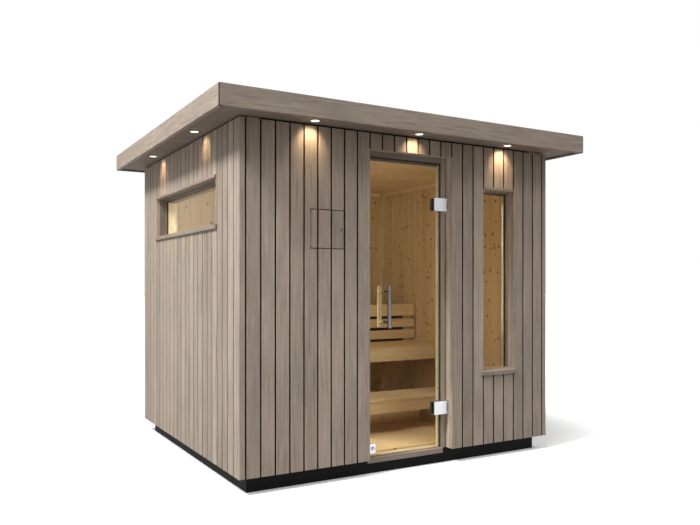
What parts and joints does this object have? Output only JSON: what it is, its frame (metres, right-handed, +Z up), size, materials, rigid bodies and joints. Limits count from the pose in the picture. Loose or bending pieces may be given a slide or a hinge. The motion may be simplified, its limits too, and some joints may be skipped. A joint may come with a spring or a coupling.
{
  "type": "outdoor sauna cabin",
  "caption": "Flat-roofed timber sauna cabin with a framed glass door, two fixed windows, a service hatch, downlights under the eaves, slatted benches and a backrest.",
  "frame": {"origin": "on the ground under the middle of the cabin's bounding box", "axes": "+Z up, the front with the door faces -Y, +X to the right seen from the front"},
  "size_m": [2.8, 2.554, 2.313],
  "materials": {
    "painted_boards": "opaque taupe stain on spruce",
    "black_stain": "matt black stain",
    "spruce": "untreated spruce",
    "aspen": "smooth untreated aspen",
    "roofing": "matt roofing membrane",
    "glass": "clear toughened glass",
    "steel": "satin stainless steel"
  },
  "bodies": {
    "cabin": {"base_frame": "black_stain", "floor": "spruce", "ceiling": "spruce", "left_wall": "spruce", "right_wall": "spruce", "back_wall": "spruce", "front_wall_left": "spruce", "front_wall_over_door": "spruce", "front_wall_right": "spruce", "front_cladding_left": "painted_boards", "front_cladding_over_door": "painted_boards", "front_cladding_right": "painted_boards", "left_cladding": "painted_boards", "right_cladding": "painted_boards", "back_cladding": "painted_boards", "corner_trim_front_left": "painted_boards", "corner_trim_front_right": "painted_boards", "corner_trim_back_left": "painted_boards", "corner_trim_back_right": "painted_boards", "soffit": "painted_boards", "roof_deck": "spruce", "roof_membrane": "roofing", "fascia_front": "painted_boards", "fascia_back": "painted_boards", "fascia_left": "painted_boards", "fascia_right": "painted_boards", "front_window_frame": "spruce", "front_window_glass": "glass", "front_window_sill": "painted_boards", "side_window_frame": "spruce", "side_window_glass": "glass", "side_window_sill": "painted_boards", "door_jamb_hinge_side": "painted_boards", "door_jamb_lock_side": "painted_boards", "door_head": "painted_boards", "door_threshold": "painted_boards", "upper_hinge_bracket": "steel", "lower_hinge_bracket": "steel", "hatch_hinge": "steel", "lower_bench": "aspen", "upper_bench": "aspen", "backrest": "aspen", "front_window_lintel": "painted_boards", "side_window_lintel": "painted_boards"},
    "door": {"door_glass": "glass", "upper_hinge_clamp": "steel", "lower_hinge_clamp": "steel", "door_pull": "steel", "door_inner_handle": "aspen", "door_corner_lock": "steel"},
    "hatch": {"service_hatch": "painted_boards"}
  },
  "joints": [
    {"name": "door_hinge", "type": "hinge", "parent": "cabin", "child": "door", "pos_m": [0.3141, -1.0435, 0], "axis": [0, 0, 1], "range_deg": [0, 90]},
    {"name": "hatch_hinge", "type": "hinge", "parent": "cabin", "child": "hatch", "pos_m": [-0.75055, -1.087, 0], "axis": [0, 0, -1], "range_deg": [0, 95]}
  ]
}
